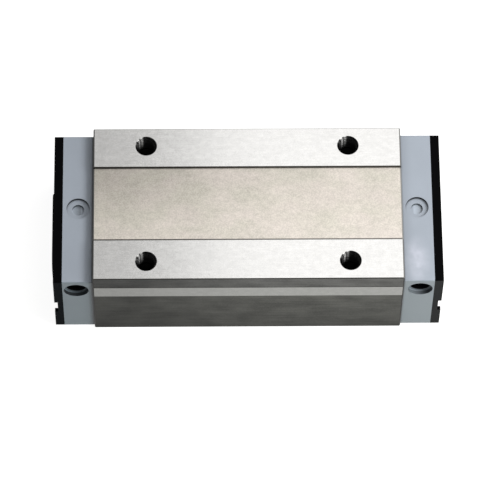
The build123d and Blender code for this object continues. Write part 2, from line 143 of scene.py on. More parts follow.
class SteelFinish(PropertyGroup):
    """Colours and grain of the steel, with painted shade for the side bands and the tapped holes."""

    ground: colour("Ground steel", "Pads and ball tracks", 0.49, 0.485, 0.475)
    # Painted shade: the side bands are the same ground steel as the pads, in a darker colour for their
    # upright faces.
    band: colour("Band steel", "Ground bands on the sides, duller than the pads", 0.31, 0.31, 0.297)
    recess: colour("Recess steel", "Unground middle band, warm and matte", 0.47, 0.435, 0.393)
    side: colour("Side steel", "Unground sides, dark from heat treatment", 0.063, 0.063, 0.057)
    shoulder: colour("Shoulder steel", "Sides above the ground bands", 0.1, 0.1, 0.095)
    edge: colour("Edge steel", "Corners and broken edges", 0.035, 0.033, 0.03)
    chamfer: colour("Chamfer steel", "Narrow chamfers round both ends", 0.2, 0.197, 0.19)
    # Painted shade: near black for the deep shade in the tapped holes.
    hole: colour("Hole steel", "Walls of the tapped holes", 0.002, 0.002, 0.002)
    grain_length: length("Grain length", "Length of a grinding line", 6.0)
    grain_width: length("Grain width", "Width of a grinding line", 0.09)
    scuff_size: length("Scuff size", "Size of the dull marks on the ground faces", 1.3)
    cloud_size: length("Cloud size", "Size of the tone clouds on the unground band", 5.0)


class SteelPaintedShading(PropertyGroup):
    """Painted light and shade on the steel, as from light at the front right: tones that fall to the left,
    down the sides and to the rear of the recess, and where those changes lie.
    """

    full_light: length("Full light", "From the middle to where tones stop rising to the right", 10.0)
    # Painted shade: the pads' left ends are darker.
    left_end: length("Left end", "Length of the duller left ends of the pads", 14.0)
    side_foot: length("Side foot", "Height at which the fall of the side tones would end", -8.0)
    side_low: share("Side, low", "Tone of the sides at that height", 0.7)
    side_gain: share("Side, gain", "How much it rises up to the ground band", 0.55)
    side_left: share("Side, left", "How much darker the sides are at the left end", 0.46)
    shoulder_left: share("Shoulder, left", "How much more the shoulders darken there", 0.14)
    band_left: share("Band, left", "How much darker the side bands are there", 0.21)
    pad_tone: share("Pad tone", "Tone of the pads away from their left ends", 0.97)
    pad_left: share("Pad, left", "How much darker the left ends of the pads are", 0.05)
    recess_left: share("Recess, left", "How much darker the recess is at the left end", 0.14)
    recess_rear: share("Recess, rear", "How much it darkens from front to rear", 0.08)
    recess_rear_left: share("Recess, rear left", "How much more it does so at the left end", 0.22)


class PaintedGlintForm(PropertyGroup):
    """The three painted highlights at the rear left of a tapped hole, as turns about it from +X."""

    first: angle("First", "Turn of the first streak", radians(111))
    second: angle("Second", "Turn of the second streak", radians(136))
    third: angle("Third", "Turn of the third streak", radians(162))
    shift: angle("Shift", "How far they lie back in the right holes and on in the left ones", radians(6))
    core: angle("Core", "Half width of the full streak", 0.02)
    edge: angle("Edge", "Half width of the streak with its soft edge", 0.22)
    third_share: share("Third's share", "Strength of the third streak", 0.5)
    rim: length("Rim", "Depth to which the wall of the mouth is fully bright in them", 0.2)
    rim_end: length("Rim end", "Depth at which it is dark again", 0.5)


class MouldedFinish(PropertyGroup):
    """Colours of the plastic and rubber pieces, with painted shade and light for some of their faces."""

    cap: colour("Cap plastic", "Blue grey of the end caps", 0.37, 0.41, 0.465)
    # Painted shade and light: the caps' sides are darker on the left cap and greener on the right one, as
    # the light and the floor's bounce fall on them.
    left_cap_painted_side: colour("Left cap side", "Sides of the left cap, darker", 0.292, 0.352, 0.388)
    right_cap_painted_side: colour("Right cap side", "Sides of the right cap, greener", 0.375, 0.434, 0.465)
    # Painted highlight: a soft pale reflection on top of the right cap.
    shine: colour("Shine", "Soft pale patch on top of the right cap", 0.62, 0.64, 0.72)
    # Painted shade: black for the deep shade behind the side ports' mouths.
    bore: colour("Bore", "Black of the bores behind the side ports", 0.001, 0.001, 0.001)
    tube: colour("Tube plastic", "Pale return tubes", 0.72, 0.71, 0.66)
    guide: colour("Guide plastic", "Dark return guides", 0.05, 0.052, 0.056)
    retainer: colour("Retainer plastic", "Grey ball retainers", 0.11, 0.115, 0.12)
    rubber: colour("Seal rubber", "Black nitrile of the seals", 0.002, 0.002, 0.0023)
    # Painted reflection: the seals' upright faces are paler, the right seal's most.
    left_seal_painted_reflection: colour("Left rim", "Upright faces of the left seal", 0.004, 0.0055, 0.0065)
    right_seal_painted_reflection: colour("Right rim", "Upright faces of the right seal, paler", 0.043, 0.0445, 0.0445)
    pore_size: length("Pore size", "Grain of the moulded surfaces", 0.12)


class PortForm(PropertyGroup):
    """Where the closed top port and the side ports lie, and how deep their mouths are."""

    top_inset: length("Top port inset", "From the steel's end to the middle of the top port", 3.7)
    top_radius: length("Top port radius", "Radius of the top port's outer ring", 2.85)
    top_depth: length("Top port depth", "How deep the closed top port goes", 1.6)
    core_radius: length("Core radius", "Radius of the deeper round in the top port", 1.5)
    mouth_radius: length("Mouth radius", "Radius of the wide mouth of a side port", 3.05)
    mouth_depth: length("Mouth depth", "How deep the wide mouth of a side port goes", 1.15)


class CapShade(PropertyGroup):
    """Painted shade in the seams and ports of the end caps, painted light in the top ports, and the
    painted highlight on top of the right cap.
    """

    seam_near: length("Seam, near", "From the steel's end to where the seam's shade begins to fade", 0.15)
    seam_far: length("Seam, far", "From the steel's end to where that shade ends", 0.45)
    seam: share("Seam", "Shade in the right seam", 0.35)
    left_seam: share("Left seam", "How much darker the left seam is", 0.5)
    side_seam_width: length("Side seam width", "Width of the shade on the left cap's sides", 1.3)
    side_seam: share("Side seam", "Shade there, right beside the steel", 0.8)
    steel_shade_width: length("Steel's shade width", "Width of the shade on top of the right cap", 3.0)
    steel_shade: share("Steel's shade", "Shade there, right beside the steel", 0.22)
    ledge: share("Ledge", "Shade at the left of the ledge in a side port", 0.15)
    right_ledge: share("Right ledge", "How much paler the right cap's ledges are", 0.1)
    ledge_gain: share("Ledge, gain", "How much darker a ledge gets to the right", 0.6)
    mouth_wall: share("Mouth wall", "Shade on the wall in front of the ledge", 0.95)
    right_mouth_wall: share("Right mouth wall", "How much paler it is at the left of a right port", 0.45)
    ledge_end: share("Ledge end", "Where the ledge's shade ends, as a share of the mouth's depth", 0.12)
    wall_start: share("Wall start", "Where the wall's shade is full, as such a share", 0.28)
    top_wall: share("Top port wall", "Shade on the walls of a top port", 0.75)
    top_corner_width: length("Top corner width", "Width of the shade at its outer ring", 0.4)
    top_corner: share("Top corner", "Shade right at its outer ring", 0.3)
    # Painted light: a pale round on the floor of each top port, cut off on its side toward the steel.
    core: share("Core", "Strength of the pale round in a top port", 0.8)
    core_start: length("Core start", "From its middle toward the steel to where the round begins", 0.9)
    core_full: length("Core full", "From its middle toward the steel to where it is full", 0.5)
    # Painted highlight: the soft shine on top of the right cap.
    shine_x: length("Shine X", "Middle of the shine along the rail", 41.5)
    shine_y: length("Shine Y", "Middle of the shine across the rail", -14.5)
    shine_reach: length("Shine reach", "Its reach along the rail, half of its reach across", 4.0)
    shine_least: share("Shine, least", "Strength of the shine where it isn't smeared", 0.35)
    shine_smear: share("Shine, smear", "How much the smears add to it", 0.55)
    smear_size: length("Smear size", "Size of the smears", 3.0)


class SealForm(PropertyGroup):
    """The thin legs of the end seals, the notches beside them, and how much lower they are shown."""

    leg_top_drop: length("Leg top drop", "From the seal's top down to the top of the thin legs", 9.2)
    notch_height: length("Notch height", "Height of the notch in each rim", 5.0)
    leg_inner: length("Leg inner edge", "From the middle to the inner edge of a thin leg", 10.9)
    leg_depth: length("Leg depth", "How much thinner the legs are", 0.8)
    lip_height: length("Lip height", "How far the lip stands out of the seal's face", 0.7)
    lowered: length("Lowered", "How much lower the photograph shows the notches", 1.9)


class HardwareFinish(PropertyGroup):
    """Colours of the balls, cores, screws and plugs."""

    ball: colour("Ball steel", "Polished balls", 0.62, 0.62, 0.63)
    core: colour("Core steel", "Stamped cores of the end seals", 0.12, 0.12, 0.12)
    screw: colour("Screw oxide", "Black oxide of screws and plugs", 0.035, 0.035, 0.037)


class ThreadForm(PropertyGroup):
    """Form of the thread in the tapped holes."""

    pitch: length("Pitch", "Rise of one turn", 0.8)
    depth: length("Depth", "How far the crest stands out of the wall", 0.45)
    crest: length("Crest", "Flat width of the crest", 0.1)
    root: length("Root", "Flat width of the root", 0.18)
    sink: length("Sink", "How far the foot of the ridge lies in the wall", 0.02)
    mouth: length("Mouth", "Depth of the plain wall above the first turn", 0.05)
    start: angle("Start", "Turn of the upper end from +X", radians(175))
    turns: IntProperty(name="Turns", description="Whole turns of the thread", default=6, min=1)
    steps: IntProperty(name="Steps", description="Faces round one turn", default=40, min=12)


class Studio(PropertyGroup):
    """Camera, lamps and floor."""

    camera_place: place("Camera", "Where the camera stands", -0.013566, -0.437861, 0.857392)
    camera_heading: angle("Heading", "Turn of the view from +Y towards +X", 0.032876)
    camera_dip: angle("Dip", "How far the view points below the horizon", 1.097799)
    camera_roll: angle("Roll", "Turn of the camera about its own view", 0.024529)
    camera_lens: FloatProperty(
        name="Lens", description="Focal length on a sensor 36 mm wide", default=274.81, unit="CAMERA"
    )
    softbox_place: place("Softbox", "Large pale lamp above, which the pads mirror", 0.136, 0.03, 0.25)
    softbox_size: length("Softbox size", "Side of the square softbox", 300)
    softbox_power: power("Softbox power", "Power of the softbox", 0.325)
    key_place: place("Key lamp", "Lamp at the front right, half way up", 0.3, -0.09, 0.36)
    key_size: length("Key size", "Side of the square key lamp", 180)
    key_power: power("Key power", "Power of the key lamp", 1.2)
    fill_place: place("Fill lamp", "Small lamp low at the front right", 0.2, -0.12, 0.11)
    fill_size: length("Fill size", "Side of the square fill lamp", 100)
    fill_power: power("Fill power", "Power of the fill lamp", 0.1)
    sky: share("Sky", "Light from all round on matte surfaces", 0.25)
    floor_tone: colour("Floor tone", "Share of light that the floor returns", 0.45, 0.45, 0.44)
    floor_glow: share("Floor glow", "Light added to the floor beside the block", 0.89)
    floor_near: length("Floor near", "Distance where the floor starts to turn white", 50)
    floor_far: length("Floor far", "Distance where the floor is white", 120)
    floor_size: length("Floor size", "Side of the square floor", 6000)


class Value:
    """A socket of a node graph, so that maths on it can be written as an expression."""

    def __init__(self, graph, socket):
        self.graph = graph
        self.socket = socket

    def maths(self, operation, first, second=0.0):
        return self.graph.node("ShaderNodeMath", {"operation": operation}, {0: first, 1: second})

    def __add__(self, other):
        return self.maths("ADD", self, other)

    def __sub__(self, other):
        return self.maths("SUBTRACT", self, other)

    def __rsub__(self, other):
        return self.maths("SUBTRACT", other, self)

    def __mul__(self, other):
        return self.maths("MULTIPLY", self, other)

    def __abs__(self):
        return self.maths("ABSOLUTE", self)

    __radd__ = __add__
    __rmul__ = __mul__


class Graph:
    """The node graph of one material or world, with one method for every node."""

    def __init__(self, tree):
        self.tree = tree

    def feed(self, socket, value):
        """Link a value to a socket, or set the socket to a plain number or colour."""
        if isinstance(value, Value):
            self.tree.links.new(value.socket, socket)
        else:
            socket.default_value = value

    def node(self, kind, settings=None, inputs=None, output=0):
        """Add a node, set it up, feed its sockets and return one of its outputs."""
        made = self.tree.nodes.new(kind)
        for name, value in (settings or {}).items():
            setattr(made, name, value)
        for key, value in (inputs or {}).items():
            self.feed(made.inputs[key], value)
        return Value(self, made.outputs[output])

    def rise(self, value, low, high):
        """0 below low and 1 above high, with a soft step between."""
        soft = {"interpolation_type": "SMOOTHSTEP"}
        return self.node("ShaderNodeMapRange", soft, {0: value, 1: low, 2: high})

    def mix(self, amount, first, second):
        """The first colour where the amount is 0, and the second where it is 1."""
        return self.node("ShaderNodeMix", {"data_type": "RGBA"}, {0: amount, 6: first, 7: second}, 2)

    def scaled(self, base, factor):
        """A linked colour made lighter or darker by a number or a value."""
        grey = self.node("ShaderNodeCombineXYZ", inputs={0: factor, 1: factor, 2: factor})
        return self.node("ShaderNodeVectorMath", {"operation": "MULTIPLY"}, {0: base, 1: grey})

    def parts(self, vector):
        """The X, Y and Z of a vector."""
        split = self.node("ShaderNodeSeparateXYZ", inputs={0: vector}).socket.node
        return [Value(self, socket) for socket in split.outputs]

    def radius(self, first, second):
        """Distance from an axis, from two coordinates measured from it."""
        offset = self.node("ShaderNodeCombineXYZ", inputs={0: first, 1: second})
        return self.node("ShaderNodeVectorMath", {"operation": "LENGTH"}, {0: offset}, 1)


class Finish(Graph):
    """A material on one shader, with patterns that are fixed to the object's own coordinates."""

    def __init__(self, name, **constants):
        self.material = bpy.data.materials.new(name)
        self.material.use_nodes = True
        super().__init__(self.material.node_tree)
        self.shader = self.tree.nodes["Principled BSDF"]
        for socket, value in constants.items():
            self.shader.inputs[socket.replace("_", " ")].default_value = value
        self.place = self.node("ShaderNodeTexCoord", output=3)
        self.normal = self.node("ShaderNodeTexCoord", output=1)

    def clouds(self, size, stretch=(1, 1, 1), detail=2.0):
        """Cloudy variation from 0 to 1, with clouds of a size, stretched along the axes."""
        scale = [1 / (size * axis) for axis in stretch]
        spread = self.node("ShaderNodeMapping", inputs={"Vector": self.place, "Scale": scale})
        noise = self.node("ShaderNodeTexNoise", inputs={"Vector": spread, "Scale": 1.0, "Detail": detail})
        return self.rise(noise, 0.3, 0.7)

    def paint(self, base, roughness=None, metallic=None):
        """Feed the colour, and the roughness and metallic shares where they vary."""
        self.feed(self.shader.inputs["Base Color"], base)
        if roughness is not None:
            self.feed(self.shader.inputs["Roughness"], roughness)
        if metallic is not None:
            self.feed(self.shader.inputs["Metallic"], metallic)

    def relief(self, height, distance, strength=1.0):
        """Feed a bump of a depth in metres to the normal."""
        values = {"Height": height, "Distance": distance, "Strength": strength}
        self.feed(self.shader.inputs["Normal"], self.node("ShaderNodeBump", inputs=values))


def shade(base, factor):
    """A colour made lighter or darker, worked out before the graph is made."""
    return [min(1.0, channel * factor) for channel in base[:3]] + [1.0]


def dress(finish, *stems):
    """Give a finish to each CAD node whose name starts with one of the stems."""
    for name, node in frame["nodes"].items():
        if name.startswith(stems):
            node.data.materials.clear()
            node.data.materials.append(finish.material)


def steel_zones(finish, faces):
    """Masks of the block's faces, each 1 on its own kind of face and 0 elsewhere."""
    x, y, z = finish.parts(finish.place)
    end_on, side_on, up = finish.parts(finish.normal)
    across = abs(y)
    pad_top = block_high.z
    recess_top = pad_top - faces.recess_depth
    inner = faces.recess_half_width
    flat = finish.rise(up, 0.92, 0.98)
    upright = finish.rise(abs(side_on), 0.92, 0.98)
    raised = finish.rise(z, recess_top - HAIR, recess_top)
    proud = block_high.y - faces.side_relief
    between_pads = 1 - finish.rise(across, inner - HAIR, inner)
    recess = flat * between_pads * finish.rise(z, recess_top - faces.recess_depth, recess_top - HAIR)
    rear_corner = finish.rise(y, inner - faces.rear_line, inner - faces.rear_line * 0.7)
    front_corner = finish.rise(0 - y, inner - faces.front_line, inner - faces.front_line * 0.8)
    in_slot = 1 - finish.rise(across, faces.slot_half_width, faces.slot_half_width + HAIR)
    under_slot_top = 1 - finish.rise(z, faces.slot_top, faces.slot_top + HAIR)
    from_hole = finish.radius(abs(x) - hole_along, across - hole_across)
    in_hole = 1 - finish.rise(from_hole, hole_radius + 7 * HAIR, hole_radius + 10 * HAIR)
    chamfer = block_high.x - faces.end_chamfer
    return {
        "pad": flat * finish.rise(z, pad_top - faces.recess_depth / 2, pad_top - HAIR),
        "recess": recess,
        "corner": recess * (rear_corner + front_corner),
        "end": finish.rise(abs(x), chamfer - HAIR, chamfer),
        "step": upright * raised * (1 - finish.rise(across, inner + 8 * HAIR, inner + 10 * HAIR)),
        "upright": upright * (1 - in_slot),
        "band": upright * finish.rise(across, proud + HAIR, proud + 2 * HAIR),
        "above_band": finish.rise(z, side_band_middle, side_band_middle + HAIR),
        "slot": in_slot * under_slot_top,
        "upward": finish.rise(up, 0.3, 0.5),
        "slanted": finish.rise(up, 0.3, 0.4) * (1 - flat) * raised,
        "milled": finish.rise(abs(end_on), 0.92, 0.98),
        # Painted shade: the tapped holes' walls and a thin ring round their mouths, given near black in
        # steel_finish.
        "well": in_hole * (1 - under_slot_top) * finish.rise(z, faces.slot_top, faces.slot_top + HAIR),
    }


def painted_steel_gradients(finish, faces, painted_shading):
    """Masks of the painted light and shade over the block, each rising from 0 to 1 in the direction of its
    name.
    """
    x, y, z = finish.parts(finish.place)
    rightward = finish.rise(x, block_low.x, painted_shading.full_light)
    return {
        "rightward": rightward,
        "leftward": 1 - rightward,
        "left_end": 1 - finish.rise(x, block_low.x, block_low.x + painted_shading.left_end),
        "rearward": finish.rise(y, -1 * faces.recess_half_width, faces.recess_half_width),
        "upward": finish.rise(z, painted_shading.side_foot, side_band_middle),
    }


def steel_patterns(finish, steel):
    """Clouds and lines of the steel, each from 0 to 1."""
    lines = finish.clouds(steel.grain_width, (steel.grain_length / steel.grain_width, 1, 1), 3)
    scuffs = finish.clouds(steel.scuff_size, (1.2, 0.8, 1), 5)
    speckle = finish.clouds(0.3 * MM, detail=3)
    broad = finish.clouds(steel.cloud_size, (1.6, 1, 1), 4)
    patch = finish.clouds(steel.cloud_size / 4, (1.4, 1, 1), 3)
    wide = finish.clouds(2.4 * steel.cloud_size, detail=3)
    streaks = finish.clouds(0.5 * MM, (25, 1, 1), 3)
    return {
        "grain": lines * 0.25 + scuffs * 0.3 + patch * 0.15 + speckle * 0.3,
        "mottle": wide * 0.15 + broad * 0.15 + patch * 0.2 + speckle * 0.5,
        "smudge": streaks * 0.3 + broad * 0.4 + speckle * 0.3,
        "hue": broad,
        "pits": speckle * 0.5 + patch,
    }


def recess_tone(finish, steel, painted_shading, patterns, painted_gradients):
    """The unground band: mottled, between a pinkish and a greenish grey, with painted shade that darkens
    it to the rear left.
    """
    red, green, blue, _ = steel.recess
    pinkish = (red * 1.01, green * 0.995, blue, 1)
    greenish = (red * 0.985, green * 1.005, blue * 0.97, 1)
    dim = finish.mix(patterns["hue"], shade(greenish, 0.78), shade(pinkish, 0.78))
    pale = finish.mix(patterns["hue"], shade(greenish, 1.26), shade(pinkish, 1.26))
    tone = finish.mix(patterns["mottle"], dim, pale)
    # Painted shade: the recess is darker to the left and paler to the front.
    leftward = painted_gradients["leftward"]
    toward_front = 0.5 - painted_gradients["rearward"]
    front_gain = toward_front * (painted_shading.recess_rear + leftward * painted_shading.recess_rear_left)
    return finish.scaled(tone, 1.01 - leftward * painted_shading.recess_left + front_gain)


def side_tone(finish, steel, painted_shading, patterns, zones, painted_gradients):
    """The dark unground steel: smudged sides with painted shade that darkens them down and to the left,
    and paler shoulders.
    """
    side = finish.scaled(steel.side[:3], painted_shading.side_low + painted_gradients["upward"] * painted_shading.side_gain)
    side = finish.mix(zones["above_band"], side, steel.shoulder)
    dark = finish.mix(patterns["smudge"], finish.scaled(side, 0.5), finish.scaled(side, 1.5))
    # Painted shade: the sides and shoulders darken toward the left end.
    dulling = painted_shading.side_left + zones["above_band"] * painted_shading.shoulder_left
    return finish.scaled(dark, 1 - painted_gradients["leftward"] * zones["upright"] * dulling)


def ground_tone(finish, base, grain, factor):
    """Ground steel: a colour that the grinding lines make lighter and darker, scaled by a value."""
    return finish.scaled(finish.mix(grain, shade(base, 0.86), shade(base, 1.1)), factor)


def painted_glint_mask(finish, streaks):
    """1 in the painted highlights: streaks at the rear left of each tapped hole, the third one weaker."""
    x, y, _ = finish.parts(finish.place)
    right_side = finish.node("ShaderNodeMath", {"operation": "SIGN"}, {0: x})
    rear_side = finish.node("ShaderNodeMath", {"operation": "SIGN"}, {0: y})
    along = x - right_side * hole_along
    across = y - rear_side * hole_across
    turn = finish.node("ShaderNodeMath", {"operation": "ARCTAN2"}, {0: across, 1: along})
    turn = turn + right_side * streaks.shift
    turns = (streaks.first, streaks.second, streaks.third)
    first, second, third = [1 - finish.rise(abs(turn - at), streaks.core, streaks.edge) for at in turns]
    return first + second + third * streaks.third_share


def steel_finish(faces, steel, painted_shading, streaks):
    """The block's steel: ground pads, bands and tracks, matte recess, dark sides, edges and hole walls."""
    finish = Finish("block_steel", Metallic=1.0, Specular_Tint=(0.7, 0.7, 0.7, 1))
    zones = steel_zones(finish, faces)
    painted_gradients = painted_steel_gradients(finish, faces, painted_shading)
    patterns = steel_patterns(finish, steel)
    grain = patterns["grain"]
    rightward = painted_gradients["rightward"]

    # Painted shade: the pads darken at their left ends and the side bands toward the left.
    pad_factor = painted_shading.pad_tone - painted_gradients["left_end"] * painted_shading.pad_left
    ground = ground_tone(finish, steel.ground, grain, pad_factor)
    band = ground_tone(finish, steel.band, grain, 1 - painted_gradients["leftward"] * painted_shading.band_left)
    matte = recess_tone(finish, steel, painted_shading, patterns, painted_gradients)
    dark = side_tone(finish, steel, painted_shading, patterns, zones, painted_gradients)
    # Painted light: the dark corners at the pads, and the end chamfers, are paler to the right.
    corner = finish.mix(rightward, steel.edge, shade(steel.edge, 3.5))
    chamfer = finish.mix(rightward, shade(steel.chamfer, 0.3), steel.chamfer)
    # Painted shade and highlight: the tapped holes' walls are near black, bright near the rim in the
    # streaks.
    height = finish.parts(finish.place)[2]
    at_rim = finish.rise(height, block_high.z - streaks.rim_end, block_high.z - streaks.rim)
    wall = finish.mix(painted_glint_mask(finish, streaks) * at_rim, steel.hole, steel.ground)

    ground_faces = zones["pad"] + zones["band"] + zones["slot"]
    base = finish.mix(zones["milled"], dark, shade(steel.side, 2.6))
    base = finish.mix(ground_faces, base, ground)
    base = finish.mix(zones["band"], base, band)
    base = finish.mix(zones["recess"], base, matte)
    base = finish.mix(zones["corner"] + zones["step"], base, corner)
    base = finish.mix(zones["slanted"], base, steel.edge)
    base = finish.mix(zones["end"], base, finish.mix(zones["upward"], steel.edge, chamfer))
    base = finish.mix(zones["well"], base, wall)
    rough = 0.34 + zones["recess"] * 0.02 - (zones["pad"] + zones["band"]) * 0.15 + grain * 0.04
    finish.paint(base, roughness=rough, metallic=1 - zones["recess"] * 0.25)
    bumps = grain * ground_faces + (1 - zones["pad"] - zones["band"]) * patterns["pits"]
    finish.relief(bumps, 0.004 * MM)
    return finish


def thread_finish(steel, form, streaks):
    """Steel of the threads in painted shade, near black and black with depth, with painted highlights in
    the streaks at the rear left.
    """
    finish = Finish("thread_steel", Metallic=1.0, Roughness=0.35, Specular_Tint=(0.4, 0.4, 0.4, 1))
    depth = block_high.z - finish.parts(finish.place)[2]
    deep = finish.rise(depth, form.mouth + form.pitch, form.mouth + 4 * form.pitch)
    marks = finish.clouds(0.3 * MM, (1, 1, 3), 2)
    # Painted shade: the thread is near black and black deeper down, with painted highlights in the
    # streaks.
    shaded_thread_colour = finish.mix(marks, shade(steel.ground, 0.005), shade(steel.ground, 0.02))
    glint_thread_colour = finish.mix(marks, shade(steel.ground, 0.09), shade(steel.ground, 0.2))
    lit = painted_glint_mask(finish, streaks) * (1 - finish.rise(depth, 0, 6 * form.pitch))
    finish.paint(finish.mix(lit, finish.mix(deep, shaded_thread_colour, steel.hole), glint_thread_colour))
    return finish


def moulded_finish(name, base, pore_size, roughness, clouds=0.04, specular=0.5):
    """Moulded plastic or rubber: a fine grain, soft tone clouds and a slightly uneven gloss."""
    finish = Finish(name, Specular_IOR_Level=specular)
    pores = finish.clouds(pore_size, detail=3)
    flow = finish.clouds(70 * pore_size, (1, 1.6, 1), 2)
    tone = pores * 0.35 + flow * 0.65
    finish.paint(
        finish.mix(tone, shade(base, 1 - clouds), shade(base, 1 + clouds)),
        roughness=roughness - 0.04 + pores * 0.08,
    )
    finish.relief(pores, 0.012 * MM, 0.6)
    return finish


def inside(finish, distance, radius):
    """1 within a radius and on its wall, and 0 outside it."""
    return 1 - finish.rise(distance, radius + HAIR, radius + 2 * HAIR)


def side_port_zones(finish, ports, shades, on_right):
    """The mouths of the side ports, the painted shade on their ledges and walls, and the bores behind
    them, painted black as deep shade.
    """
    x, y, z = finish.parts(finish.place)
    port_x, _, port_z = side_port["pos_m"]
    bore_radius = side_port["dims"]["r_mm"] * MM
    from_axis = finish.radius(abs(x) - port_x, z - port_z)
    mouth_end = cap_high.y - ports.mouth_depth
    ledge_end = mouth_end + ports.mouth_depth * shades.ledge_end
    wall_start = mouth_end + ports.mouth_depth * shades.wall_start
    behind_face = 1 - finish.rise(abs(y), cap_high.y - 2 * HAIR, cap_high.y - HAIR)
    behind_mouth = 1 - finish.rise(abs(y), mouth_end - 2 * HAIR, mouth_end - HAIR)
    before_ledge = finish.rise(abs(y), ledge_end, wall_start)
    from_middle = x - on_right * 2 * port_x + port_x
    from_left = finish.rise(from_middle, -1 * ports.mouth_radius, ports.mouth_radius)
    # Painted shade on the ledge and the wall of each side mouth, paler to the left.
    ledge = shades.ledge - on_right * shades.right_ledge + from_left * shades.ledge_gain
    wall = shades.mouth_wall - on_right * (1 - from_left) * shades.right_mouth_wall
    return {
        "mouth": inside(finish, from_axis, ports.mouth_radius) * behind_face,
        "shade": ledge + before_ledge * (wall - ledge),
        "bore": inside(finish, from_axis, bore_radius) * behind_mouth,
    }


def top_port_zones(finish, ports, shades):
    """The painted shade on the walls and at the ring of the closed top ports, and a round of painted light
    in them.
    """
    x, y, z = finish.parts(finish.place)
    up = finish.parts(finish.normal)[2]
    outward = abs(x) - block_high.x - ports.top_inset
    from_axis = finish.radius(outward, y)
    depth = cap_high.z - z
    below_port = finish.rise(depth, 1.1 * ports.top_depth, 2 * ports.top_depth)
    sunk = finish.rise(depth, HAIR, 2 * HAIR) * (1 - below_port)
    in_port = inside(finish, from_axis, ports.top_radius) * sunk
    # Painted shade on the top ports' walls and outer ring, and a round of painted light on their floor.
    wall = in_port * (1 - finish.rise(abs(up), 0.3, 0.6)) * shades.top_wall
    ring = finish.rise(from_axis, ports.top_radius - shades.top_corner_width, ports.top_radius)
    core = in_port * inside(finish, from_axis, ports.core_radius) * finish.rise(up, 0.6, 0.9)
    core = core * finish.rise(outward, -1 * shades.core_start, -1 * shades.core_full)
    return {"shade": wall + in_port * ring * shades.top_corner, "core": core * shades.core}


def cap_finish(moulded, ports, shades):
    """The end caps' plastic, with painted shade in their seams, ports and side bores, painted shade and
    light on their sides, and painted light in the top ports and on top of the right cap.
    """
    finish = moulded_finish("cap_plastic", moulded.cap, moulded.pore_size, 0.42, specular=0.3)
    plain = Value(finish, finish.shader.inputs["Base Color"].links[0].from_socket)
    x, y, _ = finish.parts(finish.place)
    on_right = finish.rise(x, -1 * MM, 1 * MM)
    on_left = 1 - on_right
    upright = finish.rise(abs(finish.parts(finish.normal)[1]), 0.5, 0.95)
    # Painted shade and light: the caps' sides and side mouths take a darker copy of the cap plastic on the
    # left cap and a greener one on the right.
    side = finish.mix(on_right, moulded.left_cap_painted_side, moulded.right_cap_painted_side)
    side_ports = side_port_zones(finish, ports, shades, on_right)
    top_ports = top_port_zones(finish, ports, shades)

    # Painted shade beside the steel: in the seams, on the left cap's sides and on top of the right cap.
    steel_end = block_high.x
    seam = 1 - finish.rise(abs(x), steel_end + shades.seam_near, steel_end + shades.seam_far)
    seam = seam * (shades.seam + on_left * shades.left_seam)
    side_seam = 1 - finish.rise(abs(x), steel_end, steel_end + shades.side_seam_width)
    side_seam = side_seam * upright * on_left * shades.side_seam
    beside_steel = (1 - finish.rise(x, steel_end, steel_end + shades.steel_shade_width)) * on_right
    # Painted highlight: the soft shine on top of the right cap, with smears in it.
    smear = finish.clouds(shades.smear_size, detail=2)
    from_shine = finish.radius(x - shades.shine_x, (y - shades.shine_y) * 0.5)
    shine = 1 - finish.rise(from_shine, 0, shades.shine_reach)
    shine = shine * (shades.shine_least + smear * shades.shine_smear)

    # Colours of the painted shade in the seams and ports.
    dark = shade(moulded.cap, 0.1)
    darkest = shade(moulded.cap, 0.05)
    base = finish.mix(upright, plain, side)
    base = finish.mix(side_ports["mouth"], base, side)
    base = finish.mix(beside_steel * (1 - upright) * shades.steel_shade, base, shade(moulded.cap, 0.5))
    base = finish.mix(shine * (1 - upright), base, moulded.shine)
    base = finish.mix(seam, base, dark)
    base = finish.mix(side_seam, base, dark)
    base = finish.mix(top_ports["core"], base, shade(moulded.cap, 1.8))
    base = finish.mix(top_ports["shade"], base, darkest)
    base = finish.mix(side_ports["mouth"] * side_ports["shade"], base, darkest)
    finish.paint(finish.mix(side_ports["bore"], base, moulded.bore))
    return finish


def rubber_finish(moulded):
    """Black rubber with painted reflection on its upright faces, palest toward the right seal."""
    finish = moulded_finish("seal_rubber", moulded.rubber, moulded.pore_size, 0.6, 0.2, 0.015)
    along = finish.parts(finish.place)[0]
    up = finish.parts(finish.normal)[2]
    # Painted reflection: the upright faces are paler, the right seal's most.
    rightward = finish.rise(along, seal_low.x / -2, seal_low.x / 2)
    rim = finish.mix(rightward, moulded.left_seal_painted_reflection, moulded.right_seal_painted_reflection)
    plain = Value(finish, finish.shader.inputs["Base Color"].links[0].from_socket)
    upright = 1 - finish.rise(abs(up), 0.1, 0.7)
    finish.paint(finish.mix(upright, plain, rim))
    return finish


def metal_finish(name, base, roughness, metallic, wear):
    """Small hardware: polished or oxidised steel with faint marks."""
    finish = Finish(name, Metallic=metallic)
    marks = finish.clouds(0.5 * MM, detail=4)
    fine = finish.clouds(0.08 * MM, detail=2)
    tone = marks * 0.6 + fine * 0.4
    finish.paint(
        finish.mix(tone, shade(base, 1 - wear), shade(base, 1 + wear)),
        roughness=roughness + marks * 0.05,
    )
    return finish


def deselect():
    """Leave nothing selected, in object mode."""
    if bpy.context.object and bpy.context.object.mode != "OBJECT":
        bpy.ops.object.mode_set(mode="OBJECT")
    bpy.ops.object.select_all(action="DESELECT")


def choose(piece, test):
    """Select the vertices of a piece in edit mode that pass a test of their place."""
    bpy.ops.mesh.select_all(action="DESELECT")
    bpy.ops.object.mode_set(mode="OBJECT")
    for vertex in piece.data.vertices:
        vertex.select = test(vertex.co)
    bpy.ops.object.mode_set(mode="EDIT")


